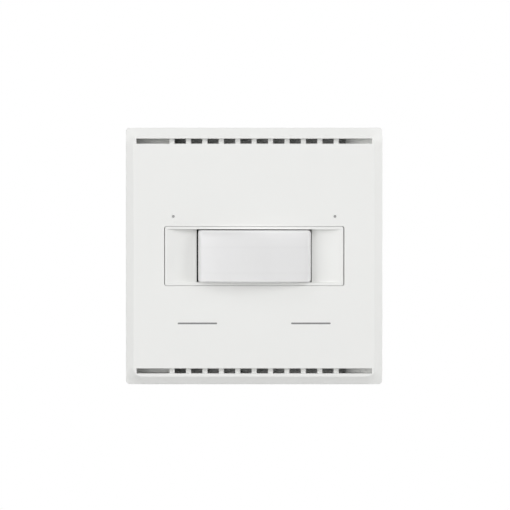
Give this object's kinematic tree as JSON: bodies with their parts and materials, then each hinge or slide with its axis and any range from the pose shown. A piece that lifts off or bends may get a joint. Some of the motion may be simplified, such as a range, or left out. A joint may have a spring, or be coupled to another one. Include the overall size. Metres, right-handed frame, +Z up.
{
  "type": "motion sensor light switch",
  "caption": "Flush square white wall sensor with a bulged motion lens, touch marks, pilot lights and vent slots, on a latching rear housing with a pull-off bus terminal.",
  "frame": {"origin": "middle of the cover's rear rim, in the plane that seats on the support plate", "axes": "+X to the right and +Z up as seen from the front, +Y into the wall"},
  "size_m": [0.055, 0.0274, 0.055],
  "materials": {
    "cover_white": "satin white moulded plastic",
    "bezel_white": "satin white moulded plastic",
    "lens_milk": "milky translucent plastic",
    "guide_clear": "clear light guide",
    "foam_grey": "conductive foam",
    "board_green": "solder mask",
    "led_white": "clear lamp body",
    "led_red": "red lamp body",
    "chip_black": "moulded chip body",
    "steel": "plated steel",
    "pin_gold": "plated pins",
    "filter_dark": "dark polished filter",
    "capacitor_aluminium": "bare aluminium",
    "connector_black": "black moulded plastic",
    "housing_grey": "light grey moulded plastic",
    "seal_black": "black foam rubber",
    "button_white": "white moulded plastic",
    "terminal_red": "red moulded plastic",
    "terminal_grey": "dark grey moulded plastic"
  },
  "bodies": {
    "head": {"front_cover": "cover_white", "lens_bezel": "bezel_white", "fresnel_lens": "lens_milk", "lens_seal": "seal_black", "pilot_light_guides": "guide_clear", "touch_pads": "foam_grey", "front_board": "board_green", "pilot_leds": "led_white", "touch_controller": "chip_black", "temperature_sensor": "steel", "board_socket": "connector_black", "main_board": "board_green", "board_header": "connector_black", "header_pins": "pin_gold", "sensor_spacer": "bezel_white", "sensor_can": "steel", "sensor_filter": "filter_dark", "sensor_leads": "pin_gold", "brightness_sensor": "led_white", "microcontroller": "chip_black", "bus_transceiver": "chip_black", "buffer_capacitors": "capacitor_aluminium", "bus_pin_base": "connector_black", "bus_pins": "pin_gold", "switch_base": "connector_black", "switch_dome": "steel", "switch_plate_cover": "steel", "programming_led": "led_red", "programming_light_guide": "guide_clear", "rear_housing": "housing_grey", "housing_screws": "steel"},
    "button": {"programming_button": "button_white"},
    "bus_plug": {"bus_terminal_red": "terminal_red", "bus_terminal_grey": "terminal_grey", "terminal_sleeves": "pin_gold"}
  },
  "joints": [
    {"name": "button_press", "type": "slide", "parent": "head", "child": "button", "axis": [0, -1, 0], "range_m": [0, 0.00025], "stiffness_N_per_m": 2000, "springref_m": -0.0005},
    {"name": "plug_pull", "type": "slide", "parent": "head", "child": "bus_plug", "axis": [0, 1, 0], "range_m": [0, 0.012]}
  ]
}
